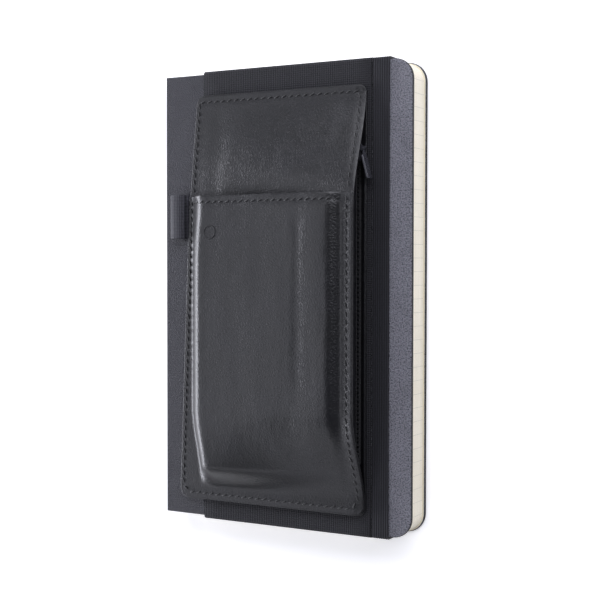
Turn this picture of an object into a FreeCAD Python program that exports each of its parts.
"""Large hard-cover notebook with an elastic closure and a zipped leather pouch on an elastic belt.

Frame: X across the cover (+X is the fore-edge), Y up the page, Z out of the front cover.
The notebook lies on its back cover, whose outer face is z = 0. All sizes are in millimetres.
"""
import FreeCAD
import Part
import os
from math import ceil, sin, tan

Vector = FreeCAD.Vector

# ---------------------------------------------------------------- notebook sizes
COVER_WIDTH = 130.0
COVER_HEIGHT = 210.0
TOTAL_THICKNESS = 16.7
CORNER_RADIUS = 9.0
SKIN = 0.4                    # leatherette over the boards
BOARD = 1.8
PASTEDOWN = 0.2               # endpaper glued inside each cover
PAGE_INSET = 0.9              # pages stop this far inside the cover's edge
SIGNATURE_COUNT = 10          # folded paper sections
PAPER_GAP = 0.02              # air between two sections
LEAF = 0.15                   # a flyleaf
RIBBON_WIDTH = 4.0
RIBBON = 0.2
SPINE_BOARD = 1.0
MULL = 0.2                    # gauze lining between spine board and sections
HEADBAND = 0.7

# ---------------------------------------------------------------- elastic sizes
BELT_LEFT = -42.4
BELT_RIGHT = 45.8
BELT = 1.1                    # woven elastic, thick
CLOSURE_WIDTH = 7.8
CLOSURE_CENTRE = 50.3
CLOSURE = 1.0
CLOSURE_TAIL = 12.0           # length of each end let into the back cover

# ---------------------------------------------------------------- fits
SLIP = 0.1                    # between a face and what slides over it
GLUE = 0.05                   # between two glued or sewn layers
SEAM_AIR = 0.12               # between two curved layers of leather
HINGE_GAP = 0.2               # between a cover and the spine

# ---------------------------------------------------------------- pouch sizes
POUCH_TOP = 94.4
POUCH_BOTTOM = -96.4
POUCH_RIGHT = 44.0
WAIST_Y = 50.0                # the left edge bends here
WAIST_X = -48.6
TOP_LEFT_X = -44.7
BOTTOM_LEFT_X = -54.2
POUCH_RADIUS_TOP = 3.0
POUCH_RADIUS_BOTTOM = 6.0
LEATHER = 0.9
RIM_HEIGHT = 16.2             # main panel's rim on the zip side, above the cover
RIM_HEAD_RISE = 55.0          # length over which the rim climbs from the head end
RIM_TAIL_RISE = 44.0
SIDE_FLANGE = 2.5             # flat leather outside the bulge, left side
POCKET_TOP = 47.0
SHOULDER = 11.0               # width of the pocket's left shoulder
PLATEAU_MOUTH = 13.0          # pocket's height at its mouth, left
PLATEAU_MIDDLE = 15.6         # pocket's height lower down, left
STITCH_PITCH = 3.6
STITCH_LENGTH = 2.5
STITCH_RADIUS = 0.28
STITCH_INSET = 3.0
STITCH_INSET_LEFT = 1.6

# ---------------------------------------------------------------- zip sizes
ZIP_HEIGHT = 5.6              # chain's centre line above the cover
ZIP_X = 41.25                 # middle of the tape's thickness
ZIP_HEAD = 70.0
ZIP_TAIL = -73.4
TAPE = 0.5
TOOTH_PITCH = 2.0
TOOTH_LENGTH = 1.2
TOOTH_REACH = 0.9             # from the centre line to the tape
TOOTH_THICK = 1.4
TOOTH_SPLIT = 0.5             # channel the slider's post runs in
STOP_LENGTH = 1.2
SLIDER_LENGTH = 8.0
SLIDER_REST = 64.5
SLIDER_HALF = 1.7
SLIDER_PLATE = 0.6
TAB_LENGTH = 14.0
TAB_WIDTH = 4.4
TAB = 1.0
TAB_PIN = 0.45                # radius
TAB_LEAN = 15.0               # degrees away from the pouch
TAB_RAISE = 0.6

# ---------------------------------------------------------------- pen loop sizes
PEN_TAPE = 0.45
PEN_HEAD = 48.0
PEN_TAIL = 27.3

# ---------------------------------------------------------------- derived heights
COVER_FLOOR = PASTEDOWN + BOARD + SKIN
COVER_TOP = TOTAL_THICKNESS
COVER_BOTTOM = COVER_TOP - COVER_FLOOR
BELT_INNER_TOP = COVER_BOTTOM - SLIP
BELT_INNER_BOTTOM = BELT_INNER_TOP - BELT
BLOCK_TOP = BELT_INNER_BOTTOM - SLIP
BLOCK_BOTTOM = COVER_FLOOR + SLIP
HALF_WIDTH = COVER_WIDTH / 2
HALF_HEIGHT = COVER_HEIGHT / 2
BELT_TOP = COVER_TOP + SLIP + BELT
BASE_TOP = BELT_TOP + GLUE + LEATHER
MAIN_FLANGE = BASE_TOP + GLUE + LEATHER
POCKET_FLANGE = MAIN_FLANGE + GLUE + LEATHER
SPINE_LEFT = -HALF_WIDTH
MULL_LEFT = SPINE_LEFT + SKIN + SPINE_BOARD + SLIP
PAGE_LEFT = MULL_LEFT + MULL + GLUE
PAGE_RIGHT = HALF_WIDTH - PAGE_INSET
PAGE_HALF = HALF_HEIGHT - PAGE_INSET
CHAIN_Z = COVER_TOP + ZIP_HEIGHT


def export(shape, node):
    """Write one piece's shape to its own file."""
    shape.exportStep("parts/" + node + ".step")


def box(low, high):
    """Axis-aligned block between two corners."""
    size = [high[i] - low[i] for i in range(3)]
    return Part.makeBox(size[0], size[1], size[2], Vector(*low))


def arc_points(corner, before, after, radius):
    """Start, middle and end of the arc that rounds one corner."""
    a = (before - corner).normalize()
    b = (after - corner).normalize()
    half = a.getAngle(b) / 2
    run = radius / tan(half)
    middle = (a + b).normalize()
    reach = radius / sin(half) - radius
    return corner + a * run, corner + middle * reach, corner + b * run


def rounded_face(points, radii, z):
    """Flat face at height z from a polygon whose corners are rounded."""
    corners = [Vector(p[0], p[1], z) for p in points]
    edges = []
    last = None
    first = None
    for i, corner in enumerate(corners):
        if radii[i] > 0:
            start, mid, end = arc_points(corner, corners[i - 1], corners[(i + 1) % len(corners)], radii[i])
        else:
            start, mid, end = corner, None, corner
        if last is not None:
            edges.append(Part.makeLine(last, start))
        else:
            first = start
        if mid is not None:
            edges.append(Part.Arc(start, mid, end).toShape())
        last = end
    edges.append(Part.makeLine(last, first))
    return Part.Face(Part.Wire(edges))


def cover_plate(margin, low, high):
    """Plate of the cover's outline, its fore-edge corners rounded."""
    x = HALF_WIDTH - margin
    y = HALF_HEIGHT - margin
    r = CORNER_RADIUS - margin
    points = [(-x, -y), (x, -y), (x, y), (-x, y)]
    return rounded_face(points, [0, r, r, 0], low).extrude(Vector(0, 0, high - low))


def page_plate(low, high):
    """Plate of the paper's outline."""
    r = CORNER_RADIUS - PAGE_INSET
    points = [(PAGE_LEFT, -PAGE_HALF), (PAGE_RIGHT, -PAGE_HALF), (PAGE_RIGHT, PAGE_HALF), (PAGE_LEFT, PAGE_HALF)]
    return rounded_face(points, [0, r, r, 0], low).extrude(Vector(0, 0, high - low))


def closure_recess(side):
    """Space in the back cover for one end of the closure band."""
    low = CLOSURE_CENTRE - CLOSURE_WIDTH / 2 - SLIP
    high = CLOSURE_CENTRE + CLOSURE_WIDTH / 2 + SLIP
    near = HALF_HEIGHT - CLOSURE_TAIL - SLIP
    far = HALF_HEIGHT + 1
    ends = sorted([side * near, side * far])
    return box((low, ends[0], -1), (high, ends[1], CLOSURE + 2 * SLIP))


def build_back_cover():
    """Board, leatherette tray and pastedown of the back cover."""
    skin = cover_plate(0, 0, SKIN + BOARD).cut(cover_plate(SKIN, SKIN, SKIN + BOARD + 1))
    board = cover_plate(SKIN + SLIP / 2, SKIN + SLIP / 2, SKIN + BOARD)
    for side in (-1, 1):
        skin = skin.cut(closure_recess(side))
        board = board.cut(closure_recess(side))
    export(skin, "back_cover_skin")
    export(board, "back_board")
    export(cover_plate(SKIN, COVER_FLOOR - PASTEDOWN + SLIP / 10, COVER_FLOOR), "back_pastedown")


def build_front_cover():
    """Board, leatherette tray and pastedown of the front cover."""
    low = COVER_BOTTOM + PASTEDOWN
    skin = cover_plate(0, low, COVER_TOP).cut(cover_plate(SKIN, low - 1, COVER_TOP - SKIN))
    export(skin, "front_cover_skin")
    export(cover_plate(SKIN + SLIP / 2, low, COVER_TOP - SKIN - SLIP / 2), "front_board")
    export(cover_plate(SKIN, COVER_BOTTOM, low - SLIP / 10), "front_pastedown")


def build_spine():
    """Leatherette, board and gauze lining of the spine."""
    low = COVER_FLOOR + HINGE_GAP
    high = COVER_BOTTOM - HINGE_GAP
    y = HALF_HEIGHT
    inner = SPINE_LEFT + SKIN
    export(box((SPINE_LEFT, -y, low), (inner - SLIP / 10, y, high)), "spine_skin")
    export(box((inner, -y + SKIN, low), (inner + SPINE_BOARD, y - SKIN, high)), "spine_board")
    export(box((MULL_LEFT, -y + 6, BLOCK_BOTTOM + 1), (MULL_LEFT + MULL, y - 6, BLOCK_TOP - 1)), "spine_gauze")
    for name, side in (("headband_head", 1), ("headband_tail", -1)):
        ends = sorted([side * (PAGE_HALF + SLIP / 2), side * (PAGE_HALF + HEADBAND)])
        band = box((PAGE_LEFT, ends[0], BLOCK_BOTTOM + 0.5), (PAGE_LEFT + 2 * HEADBAND, ends[1], BLOCK_TOP - 2))
        export(band, name)


def build_pages():
    """Flyleaves, folded sections and the ribbon marker between the two halves of the block."""
    low = BLOCK_BOTTOM
    export(page_plate(low, low + LEAF), "rear_flyleaf")
    low += LEAF + PAPER_GAP
    high = BLOCK_TOP - LEAF - PAPER_GAP
    export(page_plate(high + PAPER_GAP, BLOCK_TOP), "front_flyleaf")
    ribbon_space = RIBBON + 2 * PAPER_GAP
    step = (high - low - ribbon_space + PAPER_GAP) / SIGNATURE_COUNT
    middle = SIGNATURE_COUNT // 2
    for i in range(SIGNATURE_COUNT):
        base = low + step * i + (ribbon_space if i >= middle else 0)
        number = SIGNATURE_COUNT - i
        export(page_plate(base, base + step - PAPER_GAP), "signature_%02d" % number)
    ribbon_low = low + step * middle
    x = PAGE_LEFT + 9
    export(box((x, -PAGE_HALF + 2, ribbon_low), (x + RIBBON_WIDTH, PAGE_HALF, ribbon_low + RIBBON)), "ribbon_marker")


def build_belt():
    """Wide woven elastic loop around the front cover, as its four straight runs."""
    y = HALF_HEIGHT + SLIP
    export(box((BELT_LEFT, -y - BELT, COVER_TOP + SLIP), (BELT_RIGHT, y + BELT, BELT_TOP)), "belt_front")
    export(box((BELT_LEFT, -y - BELT, BELT_INNER_BOTTOM), (BELT_RIGHT, y + BELT, BELT_INNER_TOP)), "belt_inner")
    low = BELT_INNER_TOP + SLIP / 10
    high = COVER_TOP + SLIP - SLIP / 10
    export(box((BELT_LEFT, y, low), (BELT_RIGHT, y + BELT, high)), "belt_turn_head")
    export(box((BELT_LEFT, -y - BELT, low), (BELT_RIGHT, -y, high)), "belt_turn_tail")


def build_closure():
    """Ribbed closure band: front run, the two edge runs and the two ends let into the back cover."""
    left = CLOSURE_CENTRE - CLOSURE_WIDTH / 2
    right = CLOSURE_CENTRE + CLOSURE_WIDTH / 2
    y = HALF_HEIGHT + SLIP
    low = COVER_TOP + SLIP
    export(box((left, -y - CLOSURE, low), (right, y + CLOSURE, low + CLOSURE)), "closure_front")
    for name, side in (("head", 1), ("tail", -1)):
        ends = sorted([side * y, side * (y + CLOSURE)])
        run = box((left, ends[0], SLIP / 2), (right, ends[1], low - SLIP / 10))
        export(run, "closure_edge_" + name)
        ends = sorted([side * (HALF_HEIGHT - CLOSURE_TAIL), side * (y - SLIP / 10)])
        export(box((left, ends[0], SLIP / 2), (right, ends[1], SLIP / 2 + CLOSURE)), "closure_anchor_" + name)


# ---------------------------------------------------------------- pouch surfaces
def smooth(t):
    """Ease from 0 to 1."""
    t = min(1.0, max(0.0, t))
    return t * t * (3 - 2 * t)


def left_edge(y):
    """X of the pouch's left edge at height y up the page."""
    if y > WAIST_Y:
        return WAIST_X + (TOP_LEFT_X - WAIST_X) * (y - WAIST_Y) / (POUCH_TOP - WAIST_Y)
    return WAIST_X + (BOTTOM_LEFT_X - WAIST_X) * (WAIST_Y - y) / (WAIST_Y - POUCH_BOTTOM)


def rim(y):
    """Top of the main panel along the zip side."""
    head = smooth((POUCH_TOP - 1.4 - y) / RIM_HEAD_RISE)
    tail = smooth((y - POUCH_BOTTOM - 2.4) / RIM_TAIL_RISE)
    return MAIN_FLANGE + (COVER_TOP + RIM_HEIGHT - MAIN_FLANGE) * min(head, tail)


def main_height(x, y):
    """Top of the main panel: a wedge that opens towards the zip and sags behind the front pocket."""
    start = left_edge(y) + SIDE_FLANGE
    t = min(1.0, max(0.0, (x - start) / (POUCH_RIGHT - start)))
    ease = smooth(min(1.0, t / 0.12)) * 0.35 + 0.65
    ramp = t * (1.35 - 0.35 * t) * ease
    sag = smooth((POCKET_TOP + 15 - y) / 30)
    ramp = ramp + (t ** 2.2 - ramp) * sag
    return MAIN_FLANGE + (rim(y) - MAIN_FLANGE) * ramp


def pocket_height(x, y):
    """Top of the front pocket: a moulded bulge above the main panel."""
    seam = main_height(x, y) + SEAM_AIR + LEATHER / normal(main_height, x, y).z
    side = left_edge(y)
    left = smooth((x - side - SIDE_FLANGE) / SHOULDER)
    right = 1 - smooth((x - 33.0) / 6.0)
    foot = smooth((y - POUCH_BOTTOM - 5.5) / 13.0)
    level = PLATEAU_MIDDLE + (PLATEAU_MOUTH - PLATEAU_MIDDLE) * smooth((y - 12.0) / 38.0)
    across = smooth((x - side - SHOULDER) / (33.0 - side - SHOULDER))
    edge = rim(y) + GLUE + LEATHER + 0.3
    plateau = COVER_TOP + level
    plateau = plateau + (edge - plateau) * across
    lift = max(0.0, plateau - seam)
    return seam + lift * left * right * foot


def normal(height, x, y):
    """Unit normal of a height function."""
    d = 0.05
    dx = (height(x + d, y) - height(x - d, y)) / (2 * d)
    dy = (height(x, y + d) - height(x, y - d)) / (2 * d)
    return Vector(-dx, -dy, 1).normalize()


def grid(height, top, columns, rows, depth):
    """Points of a panel's surface, taken down along its normals by a depth."""
    points = []
    for i in range(columns + 1):
        u = i / columns
        line = []
        for j in range(rows + 1):
            y = POUCH_BOTTOM - 1 + (top - POUCH_BOTTOM + 1) * j / rows
            left = left_edge(y) - 1
            x = left + (POUCH_RIGHT + 1 - left) * u
            line.append(Vector(x, y, height(x, y)) - normal(height, x, y) * depth)
        points.append(line)
    return points


def surface_face(points):
    """Smooth face through a grid of points."""
    surface = Part.BSplineSurface()
    surface.interpolate(points)
    return surface.toShape()


def leather_panel(height, top, columns, rows):
    """Curved leather panel of constant thickness, before it is trimmed."""
    upper = surface_face(grid(height, top, columns, rows, 0))
    lower = surface_face(grid(height, top, columns, rows, LEATHER))
    faces = [upper, lower]
    for a, b in zip(upper.Edges, lower.Edges):
        faces.append(Part.makeRuledSurface(a, b))
    shell = Part.makeShell(faces)
    shell.sewShape()
    solid = Part.makeSolid(shell)
    if solid.Volume < 0:
        solid.reverse()
    return solid


def pouch_prism(low, high, top):
    """The pouch's outline as a prism, cut off at a height up the page."""
    radii = [POUCH_RADIUS_BOTTOM, POUCH_RADIUS_BOTTOM, POUCH_RADIUS_TOP, POUCH_RADIUS_TOP, 60.0]
    points = [(BOTTOM_LEFT_X, POUCH_BOTTOM), (POUCH_RIGHT, POUCH_BOTTOM), (POUCH_RIGHT, POUCH_TOP)]
    points += [(TOP_LEFT_X, POUCH_TOP), (WAIST_X, WAIST_Y)]
    prism = rounded_face(points, radii, low).extrude(Vector(0, 0, high - low))
    if top < POUCH_TOP:
        prism = prism.common(box((-90, POUCH_BOTTOM - 5, low - 1), (90, top, high + 1)))
    return prism


def build_pouch_panels():
    """Base, main panel and front pocket."""
    export(pouch_prism(BELT_TOP + GLUE, BASE_TOP, POUCH_TOP), "pouch_base")
    low = BELT_TOP
    high = COVER_TOP + 30
    main = leather_panel(main_height, POUCH_TOP + 1, 34, 44)
    export(main.common(pouch_prism(low, high, POUCH_TOP)), "pouch_main_panel")
    pocket = leather_panel(pocket_height, POCKET_TOP + 1, 44, 44)
    export(pocket.common(pouch_prism(low, high, POCKET_TOP)), "pouch_pocket_panel")


def wall_top(y):
    """Highest the zip-side wall may reach under the main panel."""
    x = ZIP_X - TOOTH_THICK / 2
    return main_height(x, y) - LEATHER * 1.12 - SEAM_AIR


def wall_piece(x_low, x_high, y_low, y_high, bottom, top):
    """Piece of the zip-side wall between two height functions."""
    steps = max(4, int(ceil((y_high - y_low) / 5)))
    ys = [y_low + (y_high - y_low) * i / steps for i in range(steps + 1)]
    lower = [Vector(x_low, y, bottom(y)) for y in ys]
    upper = [Vector(x_low, y, top(y)) for y in reversed(ys)]
    outline = Part.makePolygon(lower + upper + [lower[0]])
    return Part.Face(outline).extrude(Vector(x_high - x_low, 0, 0))


def build_gusset():
    """Zip tapes, leather strip above them, closed ends and foot strip."""
    low = BASE_TOP + GLUE
    left = ZIP_X - TAPE / 2
    right = ZIP_X + TAPE / 2
    tape_low = CHAIN_Z - TOOTH_REACH - GLUE
    tape_high = CHAIN_Z + TOOTH_REACH + GLUE
    export(box((left, ZIP_TAIL, low), (right, ZIP_HEAD, tape_low)), "zip_tape_lower")
    tape = wall_piece(left, right, ZIP_TAIL, ZIP_HEAD, lambda y: tape_high, lambda y: min(wall_top(y), tape_high + 4.5))
    export(tape, "zip_tape_upper")
    strip_low = CHAIN_Z + SLIDER_HALF + 0.9
    inner = right + GLUE
    ends = [ZIP_TAIL, ZIP_HEAD]
    while wall_top(ends[0]) < strip_low + 0.5:
        ends[0] += 0.5
    while wall_top(ends[1]) < strip_low + 0.5:
        ends[1] -= 0.5
    strip = wall_piece(inner, inner + LEATHER, ends[0], ends[1], lambda y: strip_low, wall_top)
    export(strip, "gusset_strip")
    for name, a, b in (("head", ZIP_HEAD + 0.3, POUCH_TOP - 2.4), ("tail", POUCH_BOTTOM + 4.4, ZIP_TAIL - 0.3)):
        end = wall_piece(left, left + LEATHER, a, b, lambda y: low, lambda y: max(low + 0.05, wall_top(y) - SLIP))
        export(end, "gusset_end_" + name)
    foot = box((POUCH_RIGHT - 1.3, POUCH_BOTTOM + 11.5, low), (POUCH_RIGHT, POUCH_TOP - 26, low + 1.1))
    export(foot, "gusset_foot")


def build_zip_chain():
    """Two rows of teeth and the two stops."""
    count = int((ZIP_HEAD - STOP_LENGTH - ZIP_TAIL - STOP_LENGTH) / TOOTH_PITCH)
    start = ZIP_TAIL + STOP_LENGTH + 0.4
    x = ZIP_X - TOOTH_THICK / 2
    for name, side, shift in (("lower", -1, 0.0), ("upper", 1, TOOTH_PITCH / 2)):
        teeth = []
        for i in range(count - 1):
            y = start + shift + TOOTH_PITCH * i
            ends = sorted([side * TOOTH_SPLIT / 2, side * TOOTH_REACH])
            low = (x, y, CHAIN_Z + ends[0])
            teeth.append(box(low, (x + TOOTH_THICK, y + TOOTH_LENGTH, CHAIN_Z + ends[1])))
        export(Part.makeCompound(teeth), "zip_teeth_" + name)
    for name, y in (("head", ZIP_HEAD - STOP_LENGTH), ("tail", ZIP_TAIL)):
        low = (x, y, CHAIN_Z - TOOTH_REACH)
        export(box(low, (x + TOOTH_THICK, y + STOP_LENGTH, CHAIN_Z + TOOTH_REACH)), "zip_stop_" + name)


def build_slider():
    """Zip slider: two plates on a thin post, with two ears for the pull's pin."""
    y = SLIDER_REST - SLIDER_LENGTH / 2
    inner = ZIP_X - TOOTH_THICK / 2 - SLIP
    outer = ZIP_X + TOOTH_THICK / 2 + SLIP
    z = CHAIN_Z
    h = SLIDER_HALF
    back = box((inner - SLIDER_PLATE, y, z - h), (inner, y + SLIDER_LENGTH, z + h))
    front = box((outer, y, z - h), (outer + SLIDER_PLATE, y + SLIDER_LENGTH, z + h))
    web = TOOTH_SPLIT / 2 - SLIP
    post = box((inner, y + 1, z - web), (outer, y + SLIDER_LENGTH - 1, z + web))
    slider = back.fuse(front).fuse(post)
    pin_x = pin_place()[0]
    pin_y = pin_place()[1]
    for side in (-1, 1):
        ends = sorted([side * (h - 0.7), side * h])
        ear = box((outer + SLIDER_PLATE, pin_y - 1.1, z + ends[0]), (pin_x + 0.9, pin_y + 1.1, z + ends[1]))
        slider = slider.fuse(ear)
    pin = Part.makeCylinder(TAB_PIN, 2 * h - 0.4, Vector(pin_x, pin_y, z - h + 0.2))
    export(slider.fuse(pin).removeSplitter(), "zip_slider")


def pin_place():
    """X and Y of the pin the pull turns on."""
    return (ZIP_X + TOOTH_THICK / 2 + SLIP + SLIDER_PLATE + 1.1, SLIDER_REST + 1.6)


def build_pull():
    """Pull tab hanging from the slider's pin: a narrow neck with an eye, then a wider tongue."""
    px, py = pin_place()
    neck_half = SLIDER_HALF - 0.7 - SLIP
    eye = Part.makeCylinder(TAB_PIN + SLIP + 0.45, 2 * neck_half, Vector(px, py, CHAIN_Z - neck_half))
    neck = box((px - TAB / 2, py - 3.2, CHAIN_Z - neck_half), (px + TAB / 2, py, CHAIN_Z + neck_half))
    low = CHAIN_Z + TAB_RAISE - TAB_WIDTH / 2
    tongue = box((px - TAB / 2, py - TAB_LENGTH, low), (px + TAB / 2, py - 3.0, low + TAB_WIDTH))
    tongue = tongue.makeFillet(0.9, [e for e in tongue.Edges if abs(e.Vertexes[0].X - e.Vertexes[-1].X) > 0.5])
    bore = Part.makeCylinder(TAB_PIN + SLIP, 8, Vector(px, py, CHAIN_Z - 4))
    tab = eye.fuse(neck).fuse(tongue).cut(bore).removeSplitter()
    tab.rotate(Vector(px, py, 0), Vector(0, 0, 1), TAB_LEAN)
    export(tab, "zip_pull")


def ribbon_profile(path, thickness):
    """Closed polygon that runs along both sides of a path in the XZ plane."""
    left = []
    right = []
    for i, p in enumerate(path):
        along = path[min(i + 1, len(path) - 1)] - path[max(i - 1, 0)]
        side = Vector(-along.z, 0, along.x).normalize() * (thickness / 2)
        left.append(p + side)
        right.append(p - side)
    return left + list(reversed(right))


def build_pen_loop():
    """Folded elastic tape whose ends go under the pouch's left edge."""
    low = SLIP + PEN_TAPE / 2 + 0.05
    high = low + PEN_TAPE + 0.05
    stations = [(-44.0, low), (-47.0, low), (-50.0, low), (-53.0, low), (-56.3, low), (-58.6, 1.25), (-59.5, 2.9)]
    stations += [(-58.8, 4.7), (-57.0, 5.65), (-55.0, 5.8), (-53.1, 5.45), (-51.9, 4.3), (-51.3, 2.6), (-50.6, 1.4)]
    stations += [(-49.7, high + 0.02), (-48.4, high), (-46.2, high), (-44.0, high)]
    curve = Part.BSplineCurve()
    curve.interpolate([Vector(x, PEN_TAIL, COVER_TOP + z) for x, z in stations])
    outline = ribbon_profile(curve.discretize(80), PEN_TAPE)
    face = Part.Face(Part.makePolygon(outline + [outline[0]]))
    export(face.extrude(Vector(0, PEN_HEAD - PEN_TAIL, 0)), "pen_loop")


def stitch(height, x, y, along):
    """One thread stitch lying on a panel."""
    half = along * (STITCH_LENGTH / 2)
    a = Vector(x - half.x, y - half.y, 0)
    b = Vector(x + half.x, y + half.y, 0)
    up = normal(height, x, y) * (STITCH_RADIUS + 0.04)
    a.z = height(a.x, a.y)
    b.z = height(b.x, b.y)
    a = a + up
    b = b + up
    return Part.makeCylinder(STITCH_RADIUS, (b - a).Length, a, b - a)


def stitch_line(height, points):
    """Stitches at an even pitch along a polyline."""
    stitches = []
    for start, end in zip(points, points[1:]):
        run = Vector(end[0] - start[0], end[1] - start[1], 0)
        count = max(1, int(run.Length / STITCH_PITCH))
        along = Vector(run).normalize()
        for i in range(count):
            t = (i + 0.5) / count
            stitches.append(stitch(height, start[0] + run.x * t, start[1] + run.y * t, along))
    return stitches


def build_stitching():
    """Seam threads around the pouch and along the pocket's mouth."""
    right = POUCH_RIGHT - STITCH_INSET
    head = POUCH_TOP - STITCH_INSET
    tail = POUCH_BOTTOM + STITCH_INSET
    line = POCKET_TOP + 1.5

    def left(y):
        return left_edge(y) + STITCH_INSET_LEFT

    upper = [(left(line), line), (left(head), head), (right, head), (right, line)]
    export(Part.makeCompound(stitch_line(main_height, upper)), "seam_upper")
    hem = POCKET_TOP - 1.5
    lower = [(left(hem), hem), (left(tail + 3), tail + 3)]
    lower += [(left(tail) + 3, tail), (right - 3, tail), (right, tail + 3), (right, hem)]
    export(Part.makeCompound(stitch_line(pocket_height, lower)), "seam_lower")
    mouth = POCKET_TOP - STITCH_INSET
    turn = [(left(mouth) + 3.0, mouth), (right - 3.0, mouth)]
    count = 26
    points = [(turn[0][0] + (turn[1][0] - turn[0][0]) * i / count, mouth) for i in range(count + 1)]
    export(Part.makeCompound(stitch_line(pocket_height, points)), "seam_pocket_mouth")


def main():
    os.makedirs("parts", exist_ok=True)
    build_back_cover()
    build_front_cover()
    build_spine()
    build_pages()
    build_belt()
    build_closure()
    build_pouch_panels()
    build_gusset()
    build_zip_chain()
    build_slider()
    build_pull()
    build_pen_loop()
    build_stitching()


main()
